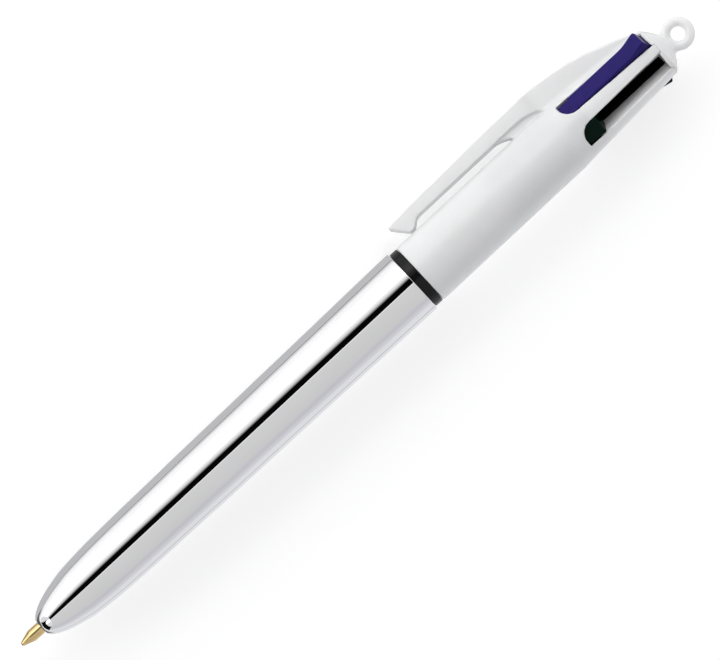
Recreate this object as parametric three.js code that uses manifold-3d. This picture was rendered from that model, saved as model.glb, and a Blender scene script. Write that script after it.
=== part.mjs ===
// Multicolor click pen: four sprung colour sliders in an upper barrel, a screwed-on lower barrel,
// a black joint ring, a spring clip and a domed cap with a lanyard ring.
// Millimetres. The pen lies along X, writing point towards -X, lanyard ring towards +X, +Z up.
// Every piece is drawn in the pen's own frame first: z along the axis from the nose face (0) to the
// ring end, x towards the clip, y across the clip. One group then lays the pen down.
import * as THREE from 'three';
import { mergeVertices } from 'three/addons/utils/BufferGeometryUtils.js';
import Module from 'manifold-3d';

const wasm = await Module();
wasm.setup();

// ---------- driving dimensions ----------
const SEG = 32;                    // facets round the barrels
const NOSE_HOLE_R = 1.2;           // hole the writing point comes out of
const LOWER_END = 82.2;            // open end of the lower barrel
const BARREL_R_MAX = 5.94;         // widest radius, at the lower barrel's open end
const RING_Z0 = 82.28, RING_Z1 = 83.82, RING_R = 5.59, RING_BORE_R = 5.05;
const SLEEVE_Z0 = 75.0, SLEEVE_Z1 = 91.8, SLEEVE_R = 4.93, SLEEVE_BORE_R = 4.4;
const UPPER_Z0 = 83.9;             // lower end of the upper barrel
const UPPER_Z1 = 136.7;            // top end of the upper barrel, under the cap
const UPPER_BORE_R = 4.98;
const BORE_TOP = 120.7;            // the round bore stops here and the four channels go on
const SLOT_Z0 = 118.2;             // lower end of each slot
const SLOT_W = 3.47;
const SLOT_CORNER_R = 2.2;         // large corner at the slot's lower end, on the side of the broad rib
const SLIDER_W = 3.2, SLIDER_R_IN = 2.45, SLIDER_R_OUT = 4.9, KNOB_R = 5.84;
const SLIDER_BOTTOM = 116.7, SLIDER_TOP = 136.45, FOOT_R = 1.66, FOOT_H = 1.5;
const TRAVEL = 14;                 // slider travel
const REFILL_R = 3.0;              // refill axis from the pen axis
const TUBE_R = 1.3, TUBE_BORE_R = 0.9;
const REFILL_TIP_UP = 9.62;        // ball end of a retracted refill
const REFILL_LEN = 107.0;
const PIVOT_FROM_TIP = 104.75;     // where the refill leans on its slider's peg
const POINT_R = 1.05, POINT_LEN = 11.6;
const BALL_R = 0.35;
const SEAT_Z0 = 92.0, SEAT_Z1 = 95.0;
const SPRING_MEAN_R = 1.53, SPRING_WIRE_R = 0.11, SPRING_TURNS = 11;
const ROLL_DEG = 24.05;            // the clip side is rolled this far below horizontal, so the clip touches down
const LEAN = Math.atan(REFILL_R / (REFILL_TIP_UP - TRAVEL + PIVOT_FROM_TIP - 0.75)); // lean of the refill that is out
const CLIP_W_FOOT = 3.6, CLIP_W_ROOT = 4.2;
const CLIP_SPLIT = 111.4;          // where the clip arm bends from its root
const CLIP_IN_R = 7.17, CLIP_OUT_R = 9.86;

// colour, angle round the axis from the clip, side of the slot that the rib square to the clip is on, pushed down or not
const COLOURS = [
  { name: 'blue', deg: 55, rib: 1, down: 0, hex: 0x2a2a8a },
  { name: 'green', deg: 125, rib: -1, down: 1, hex: 0x14603a },
  { name: 'black', deg: 235, rib: 1, down: 0, hex: 0x101012 },
  { name: 'red', deg: 305, rib: -1, down: 0, hex: 0xc02020 },
];

// ---------- helpers ----------
function toSolid(geometry) {
  const g = geometry.index ? geometry.clone() : geometry.clone();
  for (const a of ['normal', 'uv', 'uv1', 'color']) if (g.getAttribute(a)) g.deleteAttribute(a);
  const m = mergeVertices(g, 1e-4);
  const idx = [];
  const src = m.index.array;
  for (let i = 0; i < src.length; i += 3) {
    const [a, b, c] = [src[i], src[i + 1], src[i + 2]];
    if (a !== b && b !== c && a !== c) idx.push(a, b, c);
  }
  return new wasm.Manifold(new wasm.Mesh({
    numProp: 3, vertProperties: new Float32Array(m.getAttribute('position').array), triVerts: new Uint32Array(idx),
  }));
}
function toGeometry(solid) {
  const mesh = solid.getMesh();
  const n = mesh.numProp;
  const src = mesh.vertProperties;
  const pos = new Float32Array((src.length / n) * 3);
  for (let i = 0, j = 0; i < src.length; i += n, j += 3) {
    pos[j] = src[i]; pos[j + 1] = src[i + 1]; pos[j + 2] = src[i + 2];
  }
  const g = new THREE.BufferGeometry();
  g.setAttribute('position', new THREE.BufferAttribute(pos, 3));
  g.setIndex(new THREE.BufferAttribute(new Uint32Array(mesh.triVerts), 1));
  g.computeVertexNormals();
  return g;
}
// body of revolution round z from [r, z] points; the outline closes on itself or on the axis
function turn(points, seg = SEG) {
  const pts = points.map(([r, z]) => new THREE.Vector2(r, z));
  // counter-clockwise outline in the (r, z) plane gives outward faces after the turn to +z
  let area = 0;
  for (let i = 0; i < pts.length; i++) {
    const a = pts[i], b = pts[(i + 1) % pts.length];
    area += a.x * b.y - b.x * a.y;
  }
  if (area < 0) pts.reverse();
  if (pts[0].x > 1e-9 || pts[pts.length - 1].x > 1e-9) pts.push(pts[0].clone());
  const g = new THREE.LatheGeometry(pts, seg);
  g.rotateX(Math.PI / 2);
  return g;
}
const cyl = (r, z0, z1, seg = 16) => turn([[0, z0], [r, z0], [r, z1], [0, z1]], seg);
function box(x0, x1, y0, y1, z0, z1) {
  const g = new THREE.BoxGeometry(x1 - x0, y1 - y0, z1 - z0);
  g.translate((x0 + x1) / 2, (y0 + y1) / 2, (z0 + z1) / 2);
  return g;
}
// outline in the (r, z) plane, given thickness across (y)
function plate(outline, width) {
  const shape = new THREE.Shape(outline.map(([r, z]) => new THREE.Vector2(r, z)));
  const g = new THREE.ExtrudeGeometry(shape, { depth: width, bevelEnabled: false, curveSegments: 4 });
  g.translate(0, 0, -width / 2);
  // shape x -> x (radial), shape y -> z (axial), extrusion -> -y
  g.rotateX(Math.PI / 2);
  return g;
}
const atAngle = (g, deg) => { g.rotateZ(THREE.MathUtils.degToRad(deg)); return g; };
const mat = (hex, roughness, metalness) => new THREE.MeshStandardMaterial({ color: hex, roughness, metalness });

const CHROME = mat(0xd8d8dc, 0.08, 1.0);
const WHITE = mat(0xeeeeef, 0.35, 0.0);
const BLACK = mat(0x0b0b0c, 0.3, 0.0);
const BRASS = mat(0xb8923c, 0.25, 1.0);
const STEEL = mat(0x9a9aa0, 0.25, 1.0);
const TUBE = mat(0xd9d6cf, 0.3, 0.0);

const pen = new THREE.Group();
function addMesh(name, geometry, material, parent = pen) {
  const m = new THREE.Mesh(geometry, material);
  m.name = name;
  parent.add(m);
  return m;
}

// ---------- lower barrel: tapered chrome shell, open at both ends ----------
const lowerOuter = [
  [1.6, 0.0], [2.19, 0.65], [2.68, 1.46], [3.08, 2.27], [3.39, 3.08], [3.88, 4.7], [4.25, 6.32], [4.57, 7.95],
  [4.78, 9.9], [4.93, 12.2], [5.08, 14.43], [5.25, 20.9], [5.46, 36.5], [5.7, 60.0], [BARREL_R_MAX, LOWER_END],
];
const lowerInner = [
  [5.12, LOWER_END], [5.12, 74.0], [4.98, 73.0], [4.72, 36.5], [4.52, 20.9], [4.32, 13.0], [4.16, 9.9],
  [3.62, 6.32], [2.5, 3.0], [NOSE_HOLE_R, 1.5], [NOSE_HOLE_R, 0.0],
];
addMesh('lower_barrel', turn([...lowerOuter, ...lowerInner]), CHROME);

// ---------- black ring trapped between the two barrels ----------
addMesh('joint_ring', turn([[RING_BORE_R, RING_Z0], [RING_R, RING_Z0], [RING_R, RING_Z1], [RING_BORE_R, RING_Z1]]), BLACK);

// ---------- screw sleeve fixed in the upper barrel, reaching down into the lower one ----------
addMesh('screw_sleeve', turn([[SLEEVE_BORE_R, SLEEVE_Z0], [SLEEVE_R - 0.12, SLEEVE_Z0], [SLEEVE_R, SLEEVE_Z0 + 0.5],
  [SLEEVE_R, SLEEVE_Z1], [SLEEVE_BORE_R, SLEEVE_Z1]]), BLACK);

// ---------- upper barrel with four slots, four channels and the clip's root ----------
const upperOuter = [
  [5.68, UPPER_Z0], [5.68, 115.0], [5.56, 116.6], [5.46, 118.2], [5.35, 121.4], [5.16, 124.7], [4.95, 127.9],
  [4.8, 131.2], [4.67, 134.4], [4.48, UPPER_Z1],
];
let upper = toSolid(turn([[0, UPPER_Z0], ...upperOuter, [0, UPPER_Z1]]));
// fin that carries the clip, with the narrow web ahead of it
const finOutline = [
  [CLIP_OUT_R, CLIP_SPLIT + 0.12], [CLIP_OUT_R, 116.9], [9.7, 118.2], [9.54, 119.5], [9.2, 122.1], [8.72, 124.7],
  [8.06, 127.3], [7.13, 129.9], [6.64, 131.2], [6.2, 132.5], [5.6, 134.0], [4.9, 135.4], [4.3, 136.2],
  [4.3, 117.0], [5.4, 116.8], [6.2, 115.9], [6.8, 114.7], [CLIP_IN_R, 113.3], [CLIP_IN_R, CLIP_SPLIT + 0.12],
];
upper = upper.add(toSolid(plate(finOutline, CLIP_W_ROOT)));
const webOutline = [[5.2, 110.2], [5.75, 109.9], [6.3, 109.2], [6.8, 108.1], [CLIP_IN_R - 0.12, 107.2], [CLIP_IN_R - 0.12, CLIP_SPLIT], [7.6, CLIP_SPLIT + 0.2], [7.6, 116.0], [5.2, 118.0]];
upper = upper.add(toSolid(plate(webOutline, 3.0)));
upper = upper.subtract(toSolid(cyl(UPPER_BORE_R, UPPER_Z0 - 1, BORE_TOP, SEG)));
// a slot from its lower end to the top of the barrel, cut straight in towards the axis
function slot(rib) {
  const w = SLOT_W / 2, r = SLOT_CORNER_R, s = new THREE.Shape();
  s.moveTo(-rib * w, UPPER_Z1 + 1);
  s.lineTo(-rib * w, SLOT_Z0 + 0.3);
  s.lineTo(-rib * (w - 0.3), SLOT_Z0);
  for (let i = 0; i <= 6; i++) {
    const a = THREE.MathUtils.degToRad(-90 + 15 * i);
    s.lineTo(rib * (w - r + r * Math.cos(a)), SLOT_Z0 + r + r * Math.sin(a));
  }
  s.lineTo(rib * w, UPPER_Z1 + 1);
  s.closePath();
  const g = new THREE.ExtrudeGeometry(s, { depth: 8, bevelEnabled: false });
  g.applyMatrix4(new THREE.Matrix4().set(0, 0, 1, 0, 1, 0, 0, 0, 0, 1, 0, 0, 0, 0, 0, 1));
  return g;
}
// relief behind the slot's corner, where a slider's knob comes to rest when it is down
const relief = toSolid(turn([[0, 118.5], [UPPER_BORE_R, 118.5], [UPPER_BORE_R + 0.02, 118.7], [5.3, 119.6], [5.75, 120.9], [0, 120.9]]));
for (const c of COLOURS) {
  upper = upper.subtract(toSolid(atAngle(slot(c.rib), c.deg)));
  upper = upper.subtract(relief.intersect(toSolid(atAngle(box(0, 8, -1.68, 1.68, 118, 121), c.deg))));
}
addMesh('upper_barrel', toGeometry(upper), WHITE);

// ---------- clip arm, bending from its root ----------
const arm = toSolid(plate([
  [CLIP_OUT_R, CLIP_SPLIT], [9.86, 110.4], [9.73, 105.2], [9.52, 95.5], [9.2, 87.0], [9.06, 85.6], [8.8, 85.15],
  [6.3, 87.1], [6.0, 87.5], [5.96, 87.9], [6.1, 88.4], [7.17, 89.6], [CLIP_IN_R, CLIP_SPLIT],
], CLIP_W_ROOT));
// the arm narrows a little towards its foot
const trim = (side) => {
  const s = new THREE.Shape([
    new THREE.Vector2(84, side * CLIP_W_FOOT / 2), new THREE.Vector2(112, side * (CLIP_W_ROOT / 2)),
    new THREE.Vector2(112, side * 4), new THREE.Vector2(84, side * 4),
  ]);
  const g = new THREE.ExtrudeGeometry(s, { depth: 8, bevelEnabled: false });
  g.applyMatrix4(new THREE.Matrix4().set(0, 0, 1, 4, 0, 1, 0, 0, 1, 0, 0, 0, 0, 0, 0, 1));
  const p = g.getAttribute('position');
  // the axis swap mirrors the block, so its faces are turned back out
  const flat = g.index ? g.toNonIndexed() : g;
  const q = flat.getAttribute('position');
  for (let i = 0; i < q.count; i += 3) {
    const b = [q.getX(i + 1), q.getY(i + 1), q.getZ(i + 1)];
    q.setXYZ(i + 1, q.getX(i + 2), q.getY(i + 2), q.getZ(i + 2));
    q.setXYZ(i + 2, ...b);
  }
  void p;
  return flat;
};
let clip = arm;
for (const side of [1, -1]) {
  let cut;
  try { cut = toSolid(trim(side)); } catch (e) { cut = null; }
  if (cut && cut.volume() > 0) clip = clip.subtract(cut);
}
addMesh('clip_arm', toGeometry(clip), WHITE);

// ---------- top cap: dome, plug and lanyard ring ----------
const CAP_Z0 = UPPER_Z1 + 0.06;
const RING_C = 141.05, RING_MAJOR = 2.0, RING_MINOR = 0.82;
let cap = toSolid(turn([
  [0, CAP_Z0], [4.36, CAP_Z0], [4.33, 136.92], [3.66, 137.5], [3.0, 138.0], [2.34, 138.37], [1.9, 138.6],
  [1.2, 138.78], [0, 138.85],
]));
cap = cap.add(toSolid(cyl(0.7, CAP_Z0 - 3.0, CAP_Z0 + 0.5, 12)));
const c8 = RING_MINOR * Math.tan(Math.PI / 8);
const ringGeo = turn([
  [RING_MAJOR - RING_MINOR, -c8], [RING_MAJOR - c8, -RING_MINOR], [RING_MAJOR + c8, -RING_MINOR], [RING_MAJOR + RING_MINOR, -c8],
  [RING_MAJOR + RING_MINOR, c8], [RING_MAJOR + c8, RING_MINOR], [RING_MAJOR - c8, RING_MINOR], [RING_MAJOR - RING_MINOR, c8],
], 24);
ringGeo.rotateX(Math.PI / 2);
ringGeo.translate(0, 0, RING_C);
cap = cap.add(toSolid(ringGeo));
addMesh('top_cap', toGeometry(cap), WHITE);

// ---------- spring seat: disc with four guide holes for the refills ----------
let seat = toSolid(cyl(4.92, SEAT_Z0, SEAT_Z1, SEG));
for (const c of COLOURS) {
  const hole = (x) => { const g = cyl(1.42, SEAT_Z0 - 1, SEAT_Z1 + 1, 16); g.translate(x, 0, 0); return toSolid(atAngle(g, c.deg)); };
  seat = seat.subtract(hole(REFILL_R)).subtract(hole(2.72));
  seat = seat.subtract(toSolid(atAngle(box(2.72, REFILL_R, -1.42, 1.42, SEAT_Z0 - 1, SEAT_Z1 + 1), c.deg)));
}
addMesh('spring_seat', toGeometry(seat), WHITE);

// ---------- one colour: slider, spring, refill tube, ink, brass point, ball ----------
class Helix extends THREE.Curve {
  constructor(z0, z1) { super(); this.z0 = z0; this.z1 = z1; }
  getPoint(t, target = new THREE.Vector3()) {
    const a = 2 * Math.PI * SPRING_TURNS * t;
    return target.set(SPRING_MEAN_R * Math.cos(a), SPRING_MEAN_R * Math.sin(a), this.z0 + (this.z1 - this.z0) * t);
  }
}
function spring(z0, z1) {
  const s = new THREE.Shape();
  for (let i = 0; i < 4; i++) {
    const a = (i + 0.5) * Math.PI / 2;
    const p = [SPRING_WIRE_R * Math.cos(a), SPRING_WIRE_R * Math.sin(a)];
    if (i) s.lineTo(...p); else s.moveTo(...p);
  }
  s.closePath();
  return new THREE.ExtrudeGeometry(s, { steps: SPRING_TURNS * 10, bevelEnabled: false, extrudePath: new Helix(z0, z1) });
}
function slider() {
  const outline = [
    [SLIDER_R_IN, SLIDER_BOTTOM], [SLIDER_R_OUT - 0.25, SLIDER_BOTTOM], [SLIDER_R_OUT, SLIDER_BOTTOM + 0.6], [SLIDER_R_OUT, 132.75],
    [5.2, 133.6], [5.58, 134.3], [5.8, 134.95], [KNOB_R, 135.3], [5.72, 135.57], [4.85, 135.9], [3.78, 136.3],
    [3.3, SLIDER_TOP], [SLIDER_R_IN, SLIDER_TOP],
  ];
  let s = toSolid(plate(outline, SLIDER_W));
  // the outer face is rounded across
  s = s.intersect(toSolid(turn([[0, SLIDER_BOTTOM - 1], [SLIDER_R_OUT, SLIDER_BOTTOM - 1], [SLIDER_R_OUT, 132.75], [5.2, 133.6],
    [5.58, 134.3], [5.8, 134.95], [KNOB_R, 135.3], [5.72, 135.57], [4.85, 135.9], [3.78, 136.3], [3.3, SLIDER_TOP],
    [0, SLIDER_TOP]], 48)));
  const foot = cyl(FOOT_R, SLIDER_BOTTOM, SLIDER_BOTTOM + FOOT_H, 16);
  foot.translate(REFILL_R, 0, 0);
  const peg = cyl(0.75, SLIDER_BOTTOM - 4.5, SLIDER_BOTTOM + 0.5, 12);
  peg.translate(REFILL_R, 0, 0);
  return s.add(toSolid(foot)).add(toSolid(peg));
}
for (const c of COLOURS) {
  const dz = -TRAVEL * c.down;
  const side = new THREE.Group();
  side.rotation.z = THREE.MathUtils.degToRad(c.deg);
  pen.add(side);

  const s = addMesh('slider_' + c.name, toGeometry(slider()), mat(c.hex, 0.3, 0.0), side);
  s.position.z = dz;

  // the refill hangs on its slider's peg and leans to the nose hole as it goes down
  const refill = new THREE.Group();
  refill.position.set(REFILL_R, 0, REFILL_TIP_UP + PIVOT_FROM_TIP + dz);
  refill.rotation.y = c.down * LEAN;
  side.add(refill);
  const drop = (g) => { g.translate(0, 0, -PIVOT_FROM_TIP); return g; };

  addMesh('refill_tube_' + c.name, drop(turn([[TUBE_BORE_R, POINT_LEN + 0.08], [TUBE_R, POINT_LEN + 0.08], [TUBE_R, REFILL_LEN],
    [TUBE_BORE_R, REFILL_LEN]], 12)), TUBE, refill);
  addMesh('ink_' + c.name, drop(cyl(0.84, POINT_LEN + 3.3, 88.0, 12)), mat(c.hex, 0.4, 0.0), refill);

  let point = toSolid(turn([[0, 0.18], [0.37, 0.18], [0.62, 0.95], [1.0, 2.1], [POINT_R, 2.3], [POINT_R, POINT_LEN],
    [0.84, POINT_LEN], [0.84, POINT_LEN + 3.0], [0, POINT_LEN + 3.0]], 16));
  const socket = new THREE.SphereGeometry(0.385, 16, 12);
  socket.translate(0, 0, BALL_R);
  point = point.subtract(toSolid(socket));
  addMesh('point_' + c.name, drop(toGeometry(point)), BRASS, refill);
  const ball = new THREE.SphereGeometry(BALL_R, 12, 8);
  ball.translate(0, 0, BALL_R);
  addMesh('ball_' + c.name, drop(ball), STEEL, refill);

  // return spring from the seat to the slider's foot, round the refill
  const z0 = SEAT_Z1 + SPRING_WIRE_R + 0.06;
  const z1 = SLIDER_BOTTOM + dz - SPRING_WIRE_R - 0.06;
  const coil = spring(z0, z1);
  coil.translate(0, 0, -(REFILL_TIP_UP + PIVOT_FROM_TIP + dz));
  addMesh('spring_' + c.name, coil, STEEL, refill);
}

// ---------- lay the pen down and put the origin under the middle of its box ----------
const roll = THREE.MathUtils.degToRad(ROLL_DEG);
pen.matrixAutoUpdate = false;
pen.matrix.makeBasis(
  new THREE.Vector3(0, Math.cos(roll), -Math.sin(roll)),   // clip direction
  new THREE.Vector3(0, Math.sin(roll), Math.cos(roll)),    // across the clip
  new THREE.Vector3(1, 0, 0),                              // pen axis
);
pen.updateMatrixWorld(true);
const extent = new THREE.Box3();
pen.traverse((o) => {
  if (!o.isMesh) return;
  const p = o.geometry.getAttribute('position');
  const v = new THREE.Vector3();
  for (let i = 0; i < p.count; i++) extent.expandByPoint(v.fromBufferAttribute(p, i).applyMatrix4(o.matrixWorld));
});
const root = new THREE.Group();
root.position.set(-(extent.min.x + extent.max.x) / 2, -(extent.min.y + extent.max.y) / 2, -extent.min.z);
root.add(pen);
root.updateMatrixWorld(true);

export default root;
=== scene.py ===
import math
import bpy, bmesh
import numpy as np
from mathutils import Matrix, Vector


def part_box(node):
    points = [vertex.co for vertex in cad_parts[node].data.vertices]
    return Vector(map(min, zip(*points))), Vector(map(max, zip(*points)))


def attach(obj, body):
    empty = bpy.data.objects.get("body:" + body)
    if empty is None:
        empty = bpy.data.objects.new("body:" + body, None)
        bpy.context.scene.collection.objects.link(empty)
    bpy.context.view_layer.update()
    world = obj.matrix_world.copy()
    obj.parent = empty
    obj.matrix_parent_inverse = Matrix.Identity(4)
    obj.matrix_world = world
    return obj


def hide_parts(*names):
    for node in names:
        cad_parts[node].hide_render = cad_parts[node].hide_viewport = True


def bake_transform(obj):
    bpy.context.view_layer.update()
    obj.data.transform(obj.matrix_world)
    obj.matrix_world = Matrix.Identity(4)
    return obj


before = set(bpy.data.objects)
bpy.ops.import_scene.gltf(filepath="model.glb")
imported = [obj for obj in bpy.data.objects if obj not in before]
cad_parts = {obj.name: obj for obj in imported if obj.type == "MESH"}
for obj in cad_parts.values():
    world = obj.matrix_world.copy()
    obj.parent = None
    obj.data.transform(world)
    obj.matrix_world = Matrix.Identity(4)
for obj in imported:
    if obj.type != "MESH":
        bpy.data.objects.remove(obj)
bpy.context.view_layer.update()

# ------------------------------------------------------------------ the pen's own frame
# x towards the clip, y across it, z along the axis from the nose face to the ring end, in mm
PHI = math.radians(24.05)
lo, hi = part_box("lower_barrel")
OX, OY, OZ = lo[0] * 1000, (lo[1] + hi[1]) / 2 * 1000, (lo[2] + hi[2]) / 2 * 1000
CLIP = Vector((0, math.cos(PHI), -math.sin(PHI)))
ACROSS = Vector((0, math.sin(PHI), math.cos(PHI)))
AXIS = Vector((1, 0, 0))
PEN = Matrix(((AXIS * 0 + Vector((CLIP[0], ACROSS[0], AXIS[0]))), Vector((CLIP[1], ACROSS[1], AXIS[1])),
              Vector((CLIP[2], ACROSS[2], AXIS[2])))).to_4x4()
PEN = Matrix.Translation(Vector((OX, OY, OZ)) * 0.001) @ PEN @ Matrix.Scale(0.001, 4)


def place(x, y, z):
    return PEN @ Vector((x, y, z))


TRAVEL, REFILL_R, TIP_UP, PIVOT, REFILL_LEN = 14.0, 3.0, 9.62, 104.75, 107.0
LEAN = math.atan(REFILL_R / (TIP_UP - TRAVEL + PIVOT - 0.75))
SLOTS = {"blue": (55, 0), "green": (125, 1), "black": (235, 0), "red": (305, 0)}

# ------------------------------------------------------------------ camera, floor and studio
VIEW = math.radians(73.95)
back = Vector((0, math.cos(VIEW), math.sin(VIEW)))
side = Vector((0, math.sin(VIEW), -math.cos(VIEW)))
t43 = math.radians(43.0)
right = AXIS * math.cos(t43) - side * math.sin(t43)
up = AXIS * math.sin(t43) + side * math.cos(t43)
cam = bpy.data.objects.new("camera", bpy.data.cameras.new("camera"))
bpy.context.scene.collection.objects.link(cam)
cam.data.lens, cam.data.sensor_width = 260.0, 36.0
dist = cam.data.lens / 36.0 * 0.11675
m = Matrix((right, up, back)).transposed().to_4x4()
m.translation = place(0, 0, 70.6) + back * dist
cam.matrix_world = m
cam.data.clip_start, cam.data.clip_end = 0.01, 30
bpy.context.scene.camera = cam
bpy.context.scene.view_settings.view_transform = "Standard"


def new_material(name):
    mt = bpy.data.materials.new(name)
    mt.use_nodes = True
    mt.node_tree.nodes.clear()
    return mt, mt.node_tree


def stage_mesh(name, verts, faces, camera=False):
    me = bpy.data.meshes.new(name)
    me.from_pydata([tuple(v) for v in verts], [], faces)
    o = bpy.data.objects.new(name, me)
    bpy.context.scene.collection.objects.link(o)
    o.visible_camera = camera
    return o


def floor():
    s = 3.0
    o = stage_mesh("floor", [(-s, -s, 0), (s, -s, 0), (s, s, 0), (-s, s, 0)], [(0, 1, 2, 3)], True)
    mt, nt = new_material("floor_matt_white")
    out = nt.nodes.new("ShaderNodeOutputMaterial")
    b = nt.nodes.new("ShaderNodeBsdfPrincipled")
    b.inputs["Base Color"].default_value = (0.62, 0.62, 0.62, 1)
    b.inputs["Roughness"].default_value = 0.75
    b.inputs["Specular IOR Level"].default_value = 0.1
    b.inputs["Emission Color"].default_value = (1, 1, 1, 1)
    b.inputs["Emission Strength"].default_value = 0.56
    nt.links.new(b.outputs[0], out.inputs[0])
    o.data.materials.append(mt)


def glow(o, vals, tint):
    """Gives a card its light, a strength at each of its points."""
    att = o.data.attributes.new("glow", "FLOAT", "POINT")
    att.data.foreach_set("value", vals)
    mt, nt = new_material(o.name + "_light")
    out = nt.nodes.new("ShaderNodeOutputMaterial")
    e = nt.nodes.new("ShaderNodeEmission")
    e.inputs["Color"].default_value = (*tint, 1)
    at = nt.nodes.new("ShaderNodeAttribute")
    at.attribute_name = "glow"
    nt.links.new(at.outputs["Fac"], e.inputs["Strength"])
    nt.links.new(e.outputs[0], out.inputs[0])
    o.data.materials.append(mt)


def card(name, a0, a1, r, e0, e1, length=1.6, x0=0.0, tint=(1, 1, 1)):
    """A long studio card along the pen, between two angles round it (0 is +Y, 90 straight up); its glow
    runs from e0 at the first edge to e1 at the last."""
    n = 12
    vs, fs = [], []
    cy, cz = OY / 1000, OZ / 1000
    for i in range(n + 1):
        a = math.radians(a0 + (a1 - a0) * i / n)
        for x in (-length / 2 + x0, length / 2 + x0):
            vs.append((x, cy + r * math.cos(a), cz + r * math.sin(a)))
    for i in range(n):
        k = 2 * i
        fs.append((k, k + 1, k + 3, k + 2))
    o = stage_mesh(name, vs, fs)
    vals = []
    for i in range(n + 1):
        t = i / n
        vals += [e0 + (e1 - e0) * t] * 2
    glow(o, vals, tint)
    return o


def strip(name, y0, y1, z, e0, e1, length=0.60, tint=(1, 1, 1)):
    """A low reflector lying beside the pen: it only shows in the plating."""
    n = 6
    vs, fs, vals = [], [], []
    for i in range(n + 1):
        y = y0 + (y1 - y0) * i / n
        vs += [(-length / 2, y, z), (length / 2, y, z)]
        vals += [e0 + (e1 - e0) * i / n] * 2
    for i in range(n):
        k = 2 * i
        fs.append((k, k + 1, k + 3, k + 2))
    o = stage_mesh(name, vs, fs)
    glow(o, vals, tint)
    o.visible_diffuse = o.visible_shadow = o.visible_transmission = False
    return o


def end_card(name, x, y0, y1, z0, z1, e, tint=(1, 1, 1)):
    o = stage_mesh(name, [(x, y0, z0), (x, y1, z0), (x, y1, z1), (x, y0, z1)], [(0, 1, 2, 3)])
    glow(o, [e] * 4, tint)
    return o


floor()
card("key_low", 0.3, 14.0, 0.75, 1.12, 1.35, 2.2)
card("key", 14.0, 42.0, 0.75, 1.6, 2.75, 2.2)
card("key_fade_1", 42.0, 54.5, 0.75, 1.20, 0.70, 2.2)
card("key_fade_2", 54.5, 62.0, 0.75, 0.64, 0.02, 2.2)
card("dark_gap", 62.0, 79.3, 0.74, 0.002, 0.002, 2.2)
card("thin_edge", 79.4, 81.9, 0.75, 0.95, 0.92, 2.2)
card("overhead", 82.0, 143.0, 0.75, 0.71, 0.655, 2.2)
card("far_side", 143.0, 155.0, 0.75, 0.65, 0.60, 2.2, tint=(0.98, 0.98, 1.04))
card("far_low", 155.0, 179.0, 0.75, 0.61, 0.76, 2.2, tint=(0.985, 0.985, 1.035))
strip("side_dark", 0.0134, 0.0155, 0.0006, 0.30, 0.30)
strip("side_grey", 0.0002, 0.0134, 0.0005, 0.55, 0.585, tint=(0.99, 0.99, 1.01))
strip("side_fade", 0.0155, 0.0250, 0.0005, 0.66, 0.97)
strip("low_grey", -0.0236, -0.0002, 0.0005, 0.84, 0.80, tint=(0.985, 0.99, 1.02))
strip("low_dark", -0.0272, -0.0236, 0.0006, 0.46, 0.46, tint=(0.98, 0.985, 1.02))
strip("low_light", -0.4500, -0.0272, 0.0005, 0.76, 0.84, tint=(0.985, 0.99, 1.015))
nose_floor = stage_mesh("nose_floor", [(-0.13, -0.016, 0.0007), (-0.0765, -0.016, 0.0007), (-0.0765, 0.012, 0.0007), (-0.13, 0.012, 0.0007)],
                        [(0, 1, 2, 3)])
glow(nose_floor, [0.10] * 4, (1, 1, 1))
nose_floor.visible_diffuse = nose_floor.visible_shadow = nose_floor.visible_transmission = False
end_card("nose_dark", -1.14, -0.9, 0.35, 0.0005, 0.52, 0.004)
end_card("nose_light", -1.14, -0.03, 0.22, 0.52, 0.72, 2.0)
world = bpy.data.worlds.new("studio")
bpy.context.scene.world = world
world.use_nodes = True
world.node_tree.nodes["Background"].inputs["Color"].default_value = (0.93, 0.93, 0.94, 1)
world.node_tree.nodes["Background"].inputs["Strength"].default_value = 0.85

# ------------------------------------------------------------------ materials
MATS = {}


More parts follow.
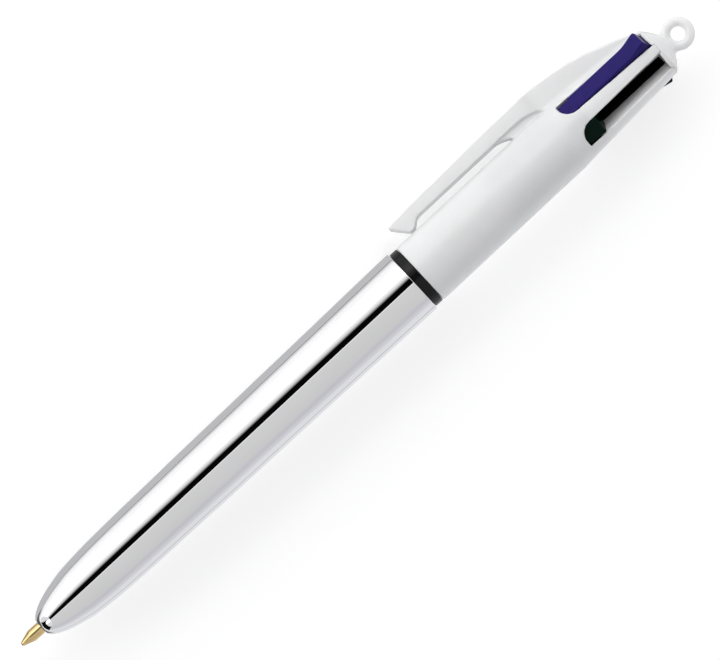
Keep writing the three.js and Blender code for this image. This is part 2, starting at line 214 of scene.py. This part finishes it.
def material(name, color, rough, metallic=0.0, grain=0.0, grain_scale=900.0, bump=0.0, bump_scale=600.0, stretch=(1, 1, 1),
             rough_var=0.0, coat=0.0, spec=0.5, ior=1.5, transmission=0.0, sss=0.0, fine=None, painted_shade=False):
    """Moulded or plated surface: colour mottling, uneven gloss and a faint surface relief, all from 3-D noise in the object's own space."""
    if name in MATS:
        return MATS[name]
    mt, nt = new_material(name)
    N, L = nt.nodes, nt.links
    out = N.new("ShaderNodeOutputMaterial")
    b = N.new("ShaderNodeBsdfPrincipled")
    L.new(b.outputs[0], out.inputs[0])
    b.inputs["Metallic"].default_value = metallic
    b.inputs["Specular IOR Level"].default_value = spec
    b.inputs["IOR"].default_value = ior
    if coat:
        b.inputs["Coat Weight"].default_value = coat
        b.inputs["Coat Roughness"].default_value = 0.06
    if transmission:
        b.inputs["Transmission Weight"].default_value = transmission
    if sss:
        b.inputs["Subsurface Weight"].default_value = sss
        b.inputs["Subsurface Radius"].default_value = (0.0024, 0.0023, 0.0022)
        b.inputs["Subsurface Scale"].default_value = 1.0
    tc = N.new("ShaderNodeTexCoord")
    mp = N.new("ShaderNodeMapping")
    mp.inputs["Scale"].default_value = stretch
    L.new(tc.outputs["Object"], mp.inputs["Vector"])

    def noise(scale, detail, rough_=0.5):
        n = N.new("ShaderNodeTexNoise")
        n.inputs["Scale"].default_value = scale
        n.inputs["Detail"].default_value = detail
        n.inputs["Roughness"].default_value = rough_
        L.new(mp.outputs[0], n.inputs["Vector"])
        return n

    n1 = noise(grain_scale, 3.0)
    ramp = N.new("ShaderNodeValToRGB")
    ramp.color_ramp.elements[0].position = 0.3
    ramp.color_ramp.elements[1].position = 0.7
    lo_c = [max(0, c * (1 - grain)) for c in color]
    hi_c = [min(1, c * (1 + grain * 0.5)) for c in color]
    ramp.color_ramp.elements[0].color = (*lo_c, 1)
    ramp.color_ramp.elements[1].color = (*hi_c, 1)
    L.new(n1.outputs["Fac"], ramp.inputs["Fac"])
    if painted_shade:     # painted shade: the base colour is multiplied by a per-point darkening towards the pen's inside, standing in for the little light that gets there
        at = N.new("ShaderNodeAttribute")
        at.attribute_name = "painted_shade"
        mx = N.new("ShaderNodeMix")
        mx.data_type = "RGBA"
        mx.blend_type = "MULTIPLY"
        mx.inputs[0].default_value = 1.0
        L.new(ramp.outputs["Color"], mx.inputs[6])
        L.new(at.outputs["Color"], mx.inputs[7])
        L.new(mx.outputs[2], b.inputs["Base Color"])
    else:
        L.new(ramp.outputs["Color"], b.inputs["Base Color"])
    n2 = noise(grain_scale * 0.35, 5.0, 0.6)
    mr = N.new("ShaderNodeMapRange")
    mr.inputs["From Min"].default_value, mr.inputs["From Max"].default_value = 0.3, 0.7
    mr.inputs["To Min"].default_value, mr.inputs["To Max"].default_value = max(0.0, rough - rough_var), rough + rough_var
    L.new(n2.outputs["Fac"], mr.inputs["Value"])
    L.new(mr.outputs[0], b.inputs["Roughness"])
    if bump:
        n3 = noise(bump_scale, 2.0)
        height = n3.outputs["Fac"]
        if fine == "turned":
            wv = N.new("ShaderNodeTexWave")
            wv.wave_type = "BANDS"
            wv.bands_direction = "X"
            wv.inputs["Scale"].default_value = 2600.0
            wv.inputs["Distortion"].default_value = 0.6
            L.new(tc.outputs["Object"], wv.inputs["Vector"])
            mix = N.new("ShaderNodeMath")
            mix.operation = "ADD"
            L.new(wv.outputs["Fac"], mix.inputs[0])
            L.new(n3.outputs["Fac"], mix.inputs[1])
            height = mix.outputs[0]
        bp = N.new("ShaderNodeBump")
        bp.inputs["Strength"].default_value = bump
        bp.inputs["Distance"].default_value = 0.00002
        L.new(height, bp.inputs["Height"])
        L.new(bp.outputs[0], b.inputs["Normal"])
    MATS[name] = mt
    return mt


def mat_chrome():
    return material("chrome_plate", (0.87, 0.87, 0.88), 0.016, 1.0, grain=0.02, grain_scale=260, rough_var=0.01,
                    bump=0.012, bump_scale=420, stretch=(0.25, 1, 1))


def mat_white():
    return material("white_abs", (0.835, 0.837, 0.842), 0.225, 0.0, grain=0.012, grain_scale=500, rough_var=0.03, bump=0.03,
                    bump_scale=1500, spec=0.45, sss=0.3)


def mat_black():
    return material("black_abs", (0.004, 0.004, 0.0045), 0.20, grain=0.25, grain_scale=800, rough_var=0.05, bump=0.06, bump_scale=1500,
                    spec=0.22)


def mat_colour(n):
    # the green is darkened to near black as painted shade, standing in for the shade the latched green slider sits in;
    # the other slider colours are the plastics' own
    c = {"blue": (0.015, 0.0075, 0.125), "green": (0.0006, 0.009, 0.005), "black": (0.003, 0.003, 0.0035), "red": (0.40, 0.008, 0.010)}[n]
    return material("slider_plastic_" + n, c, 0.21, grain=0.10, grain_scale=700, rough_var=0.04, bump=0.05, bump_scale=1400,
                    spec={"blue": 0.14, "green": 0.06}.get(n, 0.15), painted_shade=True)


def mat_ink(n):
    c = {"blue": (0.02, 0.02, 0.25), "green": (0.004, 0.10, 0.04), "black": (0.004, 0.004, 0.005), "red": (0.5, 0.006, 0.01)}[n]
    return material("ink_" + n, c, 0.15, grain=0.1, grain_scale=300, rough_var=0.03, bump=0.02)


def mat_brass():
    return material("turned_brass", (0.80, 0.60, 0.29), 0.22, 1.0, grain=0.10, grain_scale=700, rough_var=0.06, bump=0.35,
                    bump_scale=900, fine="turned")


def mat_steel():
    return material("steel", (0.52, 0.52, 0.54), 0.22, 1.0, grain=0.08, grain_scale=900, rough_var=0.06, bump=0.15, bump_scale=1500)


def mat_ball():
    return material("ball_steel", (0.16, 0.16, 0.17), 0.18, 1.0, grain=0.08, grain_scale=900, rough_var=0.05, bump=0.05, bump_scale=1500)


def mat_tube():
    return material("clear_tube", (0.80, 0.79, 0.76), 0.16, 0.0, grain=0.03, grain_scale=400, rough_var=0.04, bump=0.05, transmission=0.75, ior=1.5)


def mat_inner():
    return material("inner_white", (0.78, 0.78, 0.78), 0.45, grain=0.03, grain_scale=500, rough_var=0.08, bump=0.1, bump_scale=900)


# ------------------------------------------------------------------ mesh tools
def make(name, verts, faces, mt, matrix=None, normals=None, smooth=True, angle=None):
    me = bpy.data.meshes.new(name)
    verts = np.asarray(verts, float)
    M = np.array(PEN if matrix is None else matrix, float)
    world_v = verts @ M[:3, :3].T + M[:3, 3]
    me.from_pydata(world_v.tolist(), [], faces if isinstance(faces, list) else faces.tolist())
    me.update()
    if smooth:
        me.shade_smooth()
    if angle is not None:
        me.set_sharp_from_angle(angle=math.radians(angle))
    if normals is not None:
        R = M[:3, :3] / np.linalg.norm(M[:3, 0])
        nn = normals @ R.T
        nn /= np.maximum(np.linalg.norm(nn, axis=1, keepdims=True), 1e-9)
        me.normals_split_custom_set_from_vertices(nn.tolist())
    o = bpy.data.objects.new(name, me)
    bpy.context.scene.collection.objects.link(o)
    me.materials.append(mt)
    return o


def lathe(name, profile, mt, seg=128, matrix=None, radial=None, angle=28):
    """Body of revolution round z from a closed outline [(r, z), ...]; points on the axis close it. radial(theta, r, z) may
    move the surface in or out."""
    pts = [tuple(p) for p in profile]
    area = sum(a[0] * b[1] - b[0] * a[1] for a, b in zip(pts, pts[1:] + pts[:1]))
    if area < 0:
        pts.reverse()
    on = [abs(p[0]) < 1e-9 for p in pts]
    verts, index = [], []
    for (r, z), ax in zip(pts, on):
        if ax:
            index.append([len(verts)] * seg)
            verts.append((0, 0, z))
        else:
            row = []
            for s in range(seg):
                a = 2 * math.pi * s / seg
                rr = r if radial is None else radial(a, r, z)
                row.append(len(verts))
                verts.append((rr * math.cos(a), rr * math.sin(a), z))
            index.append(row)
    faces = []
    n = len(pts)
    for i in range(n):
        j = (i + 1) % n
        if on[i] and on[j]:
            continue
        for s in range(seg):
            t = (s + 1) % seg
            q = [index[i][s], index[i][t], index[j][t], index[j][s]]
            f = []
            for v in q:
                if v not in f:
                    f.append(v)
            if len(f) >= 3:
                faces.append(f)
    return make(name, verts, faces, mt, matrix, angle=angle)


def pchip(x, y):
    """Shape-keeping cubic through the points: no bumps between them."""
    x, y = np.asarray(x, float), np.asarray(y, float)
    h, d = np.diff(x), np.diff(y) / np.diff(x)
    m = np.zeros_like(y)
    for i in range(1, len(x) - 1):
        if d[i - 1] * d[i] > 0:
            w1, w2 = 2 * h[i] + h[i - 1], h[i] + 2 * h[i - 1]
            m[i] = (w1 + w2) / (w1 / d[i - 1] + w2 / d[i])
    m[0], m[-1] = d[0], d[-1]

    def f(q):
        q = np.asarray(q, float)
        i = np.clip(np.searchsorted(x, q) - 1, 0, len(x) - 2)
        t = np.clip((q - x[i]) / h[i], 0, 1)
        t2, t3 = t * t, t * t * t
        return ((2 * t3 - 3 * t2 + 1) * y[i] + (t3 - 2 * t2 + t) * h[i] * m[i] + (-2 * t3 + 3 * t2) * y[i + 1] + (t3 - t2) * h[i] * m[i + 1])
    return f


def smin(a, b, k):
    h = np.clip(0.5 + 0.5 * (b - a) / k, 0, 1)
    return b * (1 - h) + a * h - k * h * (1 - h)


def smax(a, b, k):
    return -smin(-a, -b, k)


def poly2(px, py, P):
    """Signed distance to a closed polygon, negative inside."""
    P = np.asarray(P, float)
    d = None
    inside = None
    n = len(P)
    for i in range(n):
        ax, ay = P[i]
        bx, by = P[(i + 1) % n]
        ex, ey = bx - ax, by - ay
        wx, wy = px - ax, py - ay
        t = np.clip((wx * ex + wy * ey) / (ex * ex + ey * ey), 0, 1)
        dd = (wx - ex * t) ** 2 + (wy - ey * t) ** 2
        d = dd if d is None else np.minimum(d, dd)
        c = ((ay > py) != (by > py)) & (px < (bx - ax) * (py - ay) / ((by - ay) if by != ay else 1e-12) + ax)
        inside = c if inside is None else inside ^ c
    d = np.sqrt(d)
    return np.where(inside, -d, d)


def rounded(d2, dy, r):
    """Extrusion with its edges rounded: d2 distance in the outline's plane, dy distance across."""
    a, b = d2 + r, dy + r
    return np.sqrt(np.maximum(a, 0) ** 2 + np.maximum(b, 0) ** 2) + np.minimum(np.maximum(a, b), 0) - r


def nets(f, lo, hi, h, shade=None):
    """Surface nets on a distance function, then each vertex is moved onto the surface; returns vertices, quads, normals.
    shade is the same surface without its cut, for the normals next to a hidden cut."""
    ax = [np.arange(lo[i], hi[i] + h, h) for i in range(3)]
    X, Y, Z = ax[0][:, None, None], ax[1][None, :, None], ax[2][None, None, :]
    F = np.broadcast_to(f(X, Y, Z), [len(a) for a in ax]).astype(np.float32)
    F = np.where(F == 0, 1e-6, F)
    S = F < 0
    n = np.zeros([s - 1 for s in S.shape], np.int8)
    for a in (0, 1):
        for b in (0, 1):
            for c in (0, 1):
                n += S[a:S.shape[0] - 1 + a, b:S.shape[1] - 1 + b, c:S.shape[2] - 1 + c]
    act = (n > 0) & (n < 8)
    cells = np.argwhere(act)
    idx = -np.ones(act.shape, np.int64)
    idx[act] = np.arange(len(cells))
    P = np.zeros((len(cells), 3))
    cnt = np.zeros(len(cells))
    corners = [(a, b, c) for a in (0, 1) for b in (0, 1) for c in (0, 1)]
    for ca in corners:
        for d in range(3):
            if ca[d] == 1:
                continue
            cb = list(ca)
            cb[d] = 1
            fa = F[cells[:, 0] + ca[0], cells[:, 1] + ca[1], cells[:, 2] + ca[2]]
            fb = F[cells[:, 0] + cb[0], cells[:, 1] + cb[1], cells[:, 2] + cb[2]]
            x = (fa < 0) != (fb < 0)
            t = fa[x] / (fa[x] - fb[x])
            p = np.tile(np.array(ca, float), (x.sum(), 1))
            p[:, d] += t
            P[x] += p
            cnt[x] += 1
    P = (P / cnt[:, None] + cells) * h + np.array([a[0] for a in ax])
    quads = []
    for d in range(3):
        u, v = (d + 1) % 3, (d + 2) % 3
        sl0, sl1 = [slice(None)] * 3, [slice(None)] * 3
        sl0[d], sl1[d] = slice(0, -1), slice(1, None)
        A, B = S[tuple(sl0)], S[tuple(sl1)]
        e = np.argwhere(A != B)
        e = e[(e[:, u] > 0) & (e[:, v] > 0) & (e[:, u] < S.shape[u] - 1) & (e[:, v] < S.shape[v] - 1)]
        inside = A[e[:, 0], e[:, 1], e[:, 2]]
        q = []
        for du, dv in ((1, 1), (0, 1), (0, 0), (1, 0)):
            c = e.copy()
            c[:, u] -= du
            c[:, v] -= dv
            q.append(idx[c[:, 0], c[:, 1], c[:, 2]])
        q = np.stack(q, 1)
        q[~inside] = q[~inside][:, ::-1]
        quads.append(q)
    Q = np.concatenate(quads)
    Q = Q[(Q >= 0).all(1)]
    eps = 0.012

    def grad(p, q=None):
        q = q or f
        g = np.stack([q(p[:, 0] + eps * (i == 0), p[:, 1] + eps * (i == 1), p[:, 2] + eps * (i == 2))
                      - q(p[:, 0] - eps * (i == 0), p[:, 1] - eps * (i == 1), p[:, 2] - eps * (i == 2)) for i in range(3)], 1) / (2 * eps)
        return g
    for _ in range(3):
        g = grad(P)
        s = f(P[:, 0], P[:, 1], P[:, 2])
        step = s[:, None] * g / np.maximum((g ** 2).sum(1, keepdims=True), 0.25)
        ln = np.linalg.norm(step, axis=1, keepdims=True)
        P = P - step * np.minimum(1, 0.6 * h / np.maximum(ln, 1e-9))
    g = grad(P, shade)
    g /= np.maximum(np.linalg.norm(g, axis=1, keepdims=True), 1e-9)
    return P, Q, g


def sdf_piece(name, f, lo, hi, h, mt, matrix=None, shade=None):
    P, Q, g = nets(f, lo, hi, h, shade)
    used = np.unique(Q)
    if len(used) != len(P):
        remap = -np.ones(len(P), np.int64)
        remap[used] = np.arange(len(used))
        P, g, Q = P[used], g[used], remap[Q]
    return make(name, P, Q, mt, matrix, normals=g)


def finish_piece(o, body, slot_name, *nodes):
    if body:
        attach(o, body)
    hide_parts(*nodes)
    return o


# ------------------------------------------------------------------ lower barrel
lower_r = pchip(
    [0.0, 0.30, 0.65, 1.46, 2.27, 3.08, 4.70, 6.32, 7.95, 9.57, 11.19, 14.43, 20.9, 28.7, 36.5, 46.9, 54.6, 65.0, 72.8, 79.3, 82.0],
    [1.55, 1.88, 2.19, 2.68, 3.08, 3.39, 3.88, 4.25, 4.57, 4.76, 4.89, 5.08, 5.25, 5.35, 5.46, 5.56, 5.64, 5.74, 5.84, 5.91, 5.935])
zs = np.concatenate([np.linspace(0.0, 3.2, 26), np.linspace(3.4, 16, 44), np.linspace(16.5, 81.8, 66)])
outer = [(float(lower_r(z)), float(z)) for z in zs]
outer += [(5.935, 81.95), (5.925, 82.07), (5.89, 82.15), (5.83, 82.2)]
mouth = [(1.20, 1.5), (1.18, 1.2), (1.18, 0.25), (1.22, 0.10), (1.32, 0.02), (1.44, 0.0)]
inner = [(5.40, 82.2), (5.28, 82.1), (5.15, 81.8), (5.12, 74.0), (4.98, 73.0), (4.72, 36.5), (4.52, 20.9), (4.32, 13.0), (4.16, 9.9),
         (3.62, 6.32), (2.5, 3.0)]
o = lathe("lower_barrel_shell", outer + inner + mouth, mat_chrome(), seg=192, angle=50)
finish_piece(o, "lower", "chrome", "lower_barrel")

# ------------------------------------------------------------------ black ring and screw sleeve
ring = [(5.05, 82.28), (5.42, 82.28), (5.53, 82.31), (5.585, 82.40), (5.59, 82.52), (5.59, 83.58), (5.585, 83.70), (5.53, 83.79),
        (5.42, 83.82), (5.05, 83.82)]
o = lathe("joint_ring_body", ring, mat_black(), seg=160)
finish_piece(o, "ring", "black_plastic", "joint_ring")


def thread(a, r, z):
    if r < 4.6 or z < 75.4 or z > 82.0:
        return r
    p = (z / 1.25 + a / (2 * math.pi)) % 1.0
    tri = 1 - abs(2 * p - 1)
    edge = min(1, (z - 75.4) / 0.6, (82.0 - z) / 0.5)
    return r - 0.30 * max(0, 0.62 - tri) / 0.62 * max(0, edge)


sleeve = [(4.4, 75.0), (4.7, 75.0), (4.85, 75.15), (4.93, 75.4)]
sleeve += [(4.93, 75.4 + 6.6 * i / 84) for i in range(1, 85)]
sleeve += [(4.93, 82.2), (4.93, 91.7), (4.85, 91.8), (4.4, 91.8)]
o = lathe("screw_sleeve_body", sleeve, mat_black(), seg=96, radial=thread, angle=35)
finish_piece(o, "upper", "black_plastic", "screw_sleeve")

# ------------------------------------------------------------------ upper barrel
upper_r = pchip([83.0, 115.0, 116.6, 118.2, 121.4, 124.7, 127.9, 131.2, 134.4, 136.0, 138.0],
                [5.68, 5.68, 5.57, 5.46, 5.32, 5.14, 4.96, 4.81, 4.67, 4.56, 4.42])
SLOT_W, SLOT_Z0 = 3.47, 118.2
SPLIT = 115.4     # where the clip piece takes over from the barrel's fin
fin_top = pchip([104.0, 111.4, 116.9, 118.2, 119.5, 122.1, 124.7, 127.3, 129.9, 131.2, 132.5, 134.0, 135.4, 136.6],
                [9.86, 9.86, 9.84, 9.75, 9.60, 9.22, 8.73, 8.06, 7.18, 6.68, 6.20, 5.60, 4.95, 4.30])
fin_poly = [(float(fin_top(z)), float(z)) for z in np.linspace(SPLIT - 4.0, 136.4, 46)]
fin_poly += [(3.6, 136.4), (3.6, 117.6), (5.0, 117.3), (5.9, 116.3), (6.5, SPLIT), (6.85, 114.2), (7.10, 113.0), (7.17, 111.8),
             (7.17, SPLIT - 4.0)]
web_poly = [(5.2, 110.4), (5.68, 109.95), (6.1, 109.45), (6.5, 108.7), (6.8, 107.9), (7.0, 107.2), (7.17, 106.6), (7.3, 106.6),
            (7.5, 109.6), (7.5, 118.0), (5.2, 118.0)]


def channels(x, y, z, grow=0.0):
    d = None
    w, r = SLOT_W / 2 + grow, 2.2
    for deg, _ in SLOTS.values():
        a = math.radians(deg)
        u, v = x * math.cos(a) + y * math.sin(a), -x * math.sin(a) + y * math.cos(a)
        v = v * (1 if math.sin(a) * math.cos(a) > 0 else -1)        # the large corner is next to the rib square to the clip
        cx, cz = w - r, SLOT_Z0 + r
        c = smax(np.maximum(v - w, SLOT_Z0 - z), -w - v, 0.3)
        corner = np.sqrt(np.maximum(v - cx, 0) ** 2 + np.minimum(z - cz, 0) ** 2) - r
        c = np.where((v > cx) & (z < cz), np.maximum(corner, -w - v), c)
        c = np.maximum(c, -u)
        d = c if d is None else np.minimum(d, c)
    return d


def grooves(x, y, z):
    """Inside the wall below the slots: guides that the sliders run down in."""
    rho = np.sqrt(x * x + y * y)
    d = None
    for deg, _ in SLOTS.values():
        a = math.radians(deg)
        u, v = x * math.cos(a) + y * math.sin(a), -x * math.sin(a) + y * math.cos(a)
        c = np.maximum(np.maximum(np.abs(v) - SLOT_W / 2, rho - 5.33), -u)
        d = c if d is None else np.minimum(d, c)
    return np.maximum(np.maximum(d, z - 116.0), 101.5 - z)


def upper_barrel(x, y, z, cut=True):
    rho = np.sqrt(x * x + y * y)
    d = rho - upper_r(z)
    fin = rounded(poly2(x + 0.035 * y * y, z, fin_poly), np.abs(y) - 2.1 + 0 * z, 0.27)
    if cut:
        fin = np.maximum(fin, SPLIT - z)
    web = rounded(poly2(x, z, web_poly), np.abs(y) - 1.5, 0.15)
    d = smin(d, fin, 0.9)
    d = smin(d, web, 0.45)
    d = smax(d, 83.9 - z, 0.25)
    d = smax(d, z - 136.76, 0.05)
    bore = np.maximum(rho - 4.98, z - 120.7)
    d = smax(d, -bore, 0.12)
    d = smax(d, -grooves(x, y, z), 0.08)
    d = smax(d, -channels(x, y, z), 0.42)
    return d


o = sdf_piece("upper_barrel_shell", upper_barrel, (-6.3, -6.3, 83.4), (10.4, 6.3, 137.2), 0.2, mat_white(),
              shade=lambda x, y, z: np.where((z < SPLIT + 0.5) & (x > 5.9), upper_barrel(x, y, z, False), upper_barrel(x, y, z)))
finish_piece(o, "upper", "white_plastic", "upper_barrel")

# ------------------------------------------------------------------ clip arm
arm_poly = [(9.86, 117.4), (9.86, 110.4), (9.80, 107.8), (9.73, 105.2), (9.63, 100.5), (9.52, 95.5), (9.38, 91.0), (9.22, 87.2),
            (9.12, 85.9), (9.05, 85.45), (8.92, 85.2), (8.72, 85.13), (8.5, 85.25), (6.45, 87.0), (6.15, 87.3), (6.0, 87.6), (5.97, 87.95),
            (6.03, 88.25), (6.2, 88.6), (6.7, 89.2), (7.0, 89.6), (7.17, 90.2), (7.17, 111.8), (7.10, 113.0), (6.85, 114.2), (6.5, SPLIT),
            (5.9, 116.3), (5.0, 117.4)]


def clip_arm(x, y, z, cut=True):
    w = 1.8 + 0.3 * np.clip((z - 85) / 27.0, 0, 1)
    crown = 0.035 * y * y
    d = rounded(poly2(x + crown, z, arm_poly), np.abs(y) - w, 0.27)
    return np.maximum(d + 0.015 * np.clip((z - SPLIT) / 0.02 + 1, 0, 1), z - SPLIT - 0.35) if cut else d


o = sdf_piece("clip_arm_body", clip_arm, (5.4, -2.7, 84.6), (10.4, 2.7, SPLIT + 0.8), 0.15, mat_white(),
              shade=lambda x, y, z: clip_arm(x, y, z, False))
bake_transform(o)
finish_piece(o, None, "white_plastic", "clip_arm")

# ------------------------------------------------------------------ top cap with the lanyard ring
cap_poly = [(0, 136.74), (4.36, 136.74), (4.385, 136.78), (4.37, 136.86), (4.28, 136.98), (4.10, 137.13), (3.66, 137.5), (3.33, 137.76),
            (3.0, 138.0), (2.68, 138.2), (2.34, 138.38), (1.95, 138.55), (1.4, 138.7), (0.8, 138.8), (0, 138.83)]
cap_poly = cap_poly + [(-r, z) for r, z in reversed(cap_poly[1:-1])]
RC, RMAJ, RMIN = 141.05, 2.0, 0.815


def top_cap(x, y, z):
    rho = np.sqrt(x * x + y * y)
    dome = poly2(rho, z, cap_poly) - 0.03
    plug = np.maximum(rho - 0.5, np.maximum(133.8 - z, z - 137.2))
    q = np.sqrt(x * x + (z - RC) ** 2) - RMAJ
    torus = np.sqrt(q * q + (y * 0.98) ** 2) - RMIN
    d = smin(dome, torus, 1.0)
    d = smin(d, plug, 0.2)
    for deg, _ in SLOTS.values():       # a tooth closes each slot above its slider
        a = math.radians(deg)
        u, v = x * math.cos(a) + y * math.sin(a), -x * math.sin(a) + y * math.cos(a)
        under = (135.71 + 0.36 * (5.84 - u)) - z
        tooth = np.maximum(np.maximum(np.abs(v) - SLOT_W / 2 - 0.02, under * 0.94), np.maximum(rho - upper_r(np.clip(z, 120, 137.9)) + 0.01, np.maximum(3.4 - u, z - 136.95)))
        d = smin(d, tooth, 0.12)
    return d


o = sdf_piece("top_cap_body", top_cap, (-4.8, -4.8, 133.4), (4.8, 4.8, 144.3), 0.13, mat_white())
finish_piece(o, "upper", "white_plastic", "top_cap")

# ------------------------------------------------------------------ spring seat (hidden inside)
def spring_seat(x, y, z):
    rho = np.sqrt(x * x + y * y)
    d = smax(rho - 4.9, np.abs(z - 93.5) - 1.48, 0.2)
    for deg, _ in SLOTS.values():
        a = math.radians(deg)
        u, v = x * math.cos(a) + y * math.sin(a), -x * math.sin(a) + y * math.cos(a)
        hole = np.sqrt((u - np.clip(u, 2.72, 3.0)) ** 2 + v * v) - 1.41
        d = smax(d, -hole + 0 * z, 0.1)
    return d


o = sdf_piece("spring_seat_disc", spring_seat, (-5.2, -5.2, 91.7), (5.2, 5.2, 95.3), 0.2, mat_inner())
finish_piece(o, "upper", "inner_white_plastic", "spring_seat")

# ------------------------------------------------------------------ sliders, springs, refills
slider_poly = [(2.45, 116.7), (4.7, 116.7), (4.9, 117.1), (4.97, 117.8), (5.04, 119.0), (5.06, 121.0), (5.06, 131.6), (5.10, 132.4), (5.22, 133.0),
               (5.40, 133.6), (5.60, 134.2), (5.77, 134.7), (5.88, 135.05), (5.92, 135.25), (5.90, 135.42), (5.80, 135.54), (5.6, 135.63),
               (4.85, 135.92), (3.78, 136.32), (3.3, 136.48), (2.45, 136.48)]


def slider(x, y, z):
    d = rounded(poly2(x + 0.02 * y * y, z, slider_poly), np.abs(y) - 1.62, 0.2)
    t = np.clip((z - 120.0) / 2.2, 0, 1)
    d = smax(d, np.sqrt(x * x + y * y) - 4.93 - 1.3 * t * t * (3 - 2 * t), 0.12)      # the lower end stays inside the round bore
    foot = np.maximum(np.sqrt((x - 3.0) ** 2 + y * y) - 1.66, np.abs(z - 117.45) - 0.75)
    peg = np.maximum(np.sqrt((x - 3.0) ** 2 + y * y) - 0.75, np.abs(z - 114.5) - 2.3)
    return smin(smin(d, foot, 0.1), peg, 0.1)


sP, sQ, sG = nets(slider, (2.0, -2.0, 111.8), (6.3, 2.0, 136.9), 0.14)
for n, (deg, down) in SLOTS.items():
    spin = Matrix.Rotation(math.radians(deg), 4, "Z")
    slide = Matrix.Translation((0, 0, -TRAVEL * down))
    tilt = Matrix.Identity(4)
    if down:      # a latched slider hooks under its ledge by tipping in at the top
        tilt = Matrix.Translation((3.0, 0, 117)) @ Matrix.Rotation(math.radians(-2.2), 4, "Y") @ Matrix.Translation((-3.0, 0, -117))
    M = PEN @ spin @ slide @ tilt
    o = make("slider_%s_body" % n, sP, sQ, mat_colour(n), M, normals=sG)
    # painted shade: each slider darkens towards the pen's axis, down to a tenth of its colour at the inner edge,
    # standing in for the shade inside the barrel
    inner = np.clip((sP[:, 0] - 3.0) / 1.6, 0, 1) ** 1.5
    painted_shade_tone = 0.10 + 0.90 * inner
    painted_shade_layer = o.data.attributes.new("painted_shade", "FLOAT_COLOR", "POINT")
    painted_shade_layer.data.foreach_set("color", np.stack([painted_shade_tone, painted_shade_tone, painted_shade_tone, np.ones_like(painted_shade_tone)], 1).ravel())
    finish_piece(o, "press_" + n, "slider_" + n, "slider_" + n)

    # refill frame: origin at the peg's pivot, -z towards the ball
    R = PEN @ spin @ Matrix.Translation((REFILL_R, 0, TIP_UP + PIVOT - TRAVEL * down)) @ Matrix.Rotation(LEAN * down, 4, "Y") \
        @ Matrix.Translation((0, 0, -PIVOT))
    tube = [(0.9, 11.68), (1.2, 11.68), (1.28, 11.74), (1.3, 11.84), (1.3, 106.8), (1.26, 106.95), (1.15, 107.0), (0.9, 107.0)]
    o = lathe("refill_tube_%s_body" % n, tube, mat_tube(), seg=48, matrix=R)
    finish_piece(o, "refill_" + n, "tube_plastic", "refill_tube_" + n)
    ink = [(0, 14.9), (0.8, 14.9), (0.84, 14.98), (0.84, 87.6), (0.78, 87.85), (0.5, 88.0), (0, 87.7)]
    o = lathe("ink_%s_body" % n, ink, mat_ink(n), seg=32, matrix=R)
    finish_piece(o, "refill_" + n, "ink_" + n, "ink_" + n)
    cone = [(0, 0.40), (0.2, 0.30), (0.33, 0.20), (0.352, 0.17), (0.375, 0.19), (0.40, 0.28), (0.62, 0.92), (0.97, 1.98), (1.02, 2.12), (1.045, 2.28), (1.05, 2.5),
            (1.05, 9.8), (1.0, 9.9), (1.0, 10.1), (1.05, 10.2), (1.05, 11.5), (1.02, 11.6), (0.84, 11.6), (0.84, 14.5), (0.78, 14.6), (0, 14.6)]
    o = lathe("point_%s_body" % n, cone, mat_brass(), seg=72, matrix=R, angle=22)
    finish_piece(o, "refill_" + n, "brass", "point_" + n)
    bm = bmesh.new()
    bmesh.ops.create_icosphere(bm, subdivisions=4, radius=0.35)
    bv = np.array([v.co[:] for v in bm.verts]) + np.array([0, 0, 0.35])
    bf = [[v.index for v in f.verts] for f in bm.faces]
    bm.free()
    o = make("ball_%s_body" % n, bv, bf, mat_ball(), R)
    finish_piece(o, "writing_ball_" + n, "steel", "ball_" + n)

    # spring: closed end coils, round wire
    z0, z1 = 95.17 - (TIP_UP + PIVOT - TRAVEL * down) + PIVOT, 116.53 - TRAVEL * down - (TIP_UP + PIVOT - TRAVEL * down) + PIVOT
    turns, wire, mean = 11, 0.11, 1.53
    steps, sides = turns * 28, 8
    vs = []
    end = 0.8                                    # flat turns at each end
    def height(t):
        flat = 2 * wire * 1.02
        live = (z1 - z0) - 2 * end * flat
        if t < end:
            return z0 + flat * t
        if t > turns - end:
            return z1 - flat * (turns - t)
        return z0 + end * flat + live * (t - end) / (turns - 2 * end)
    for i in range(steps + 1):
        t = turns * i / steps
        a = 2 * math.pi * t
        c = np.array([mean * math.cos(a), mean * math.sin(a), height(t)])
        e = np.array([math.cos(a), math.sin(a), 0])
        for k in range(sides):
            b = 2 * math.pi * k / sides
            vs.append(c + wire * (math.cos(b) * e + np.array([0, 0, math.sin(b)])))
    fs = []
    for i in range(steps):
        for k in range(sides):
            l = (k + 1) % sides
            fs.append([i * sides + k, i * sides + l, (i + 1) * sides + l, (i + 1) * sides + k][::-1])
    fs.append(list(range(sides)))
    fs.append([steps * sides + k for k in range(sides)][::-1])
    o = make("spring_%s_coil" % n, vs, fs, mat_steel(), R)
    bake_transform(o)
    finish_piece(o, None, "steel", "spring_" + n)
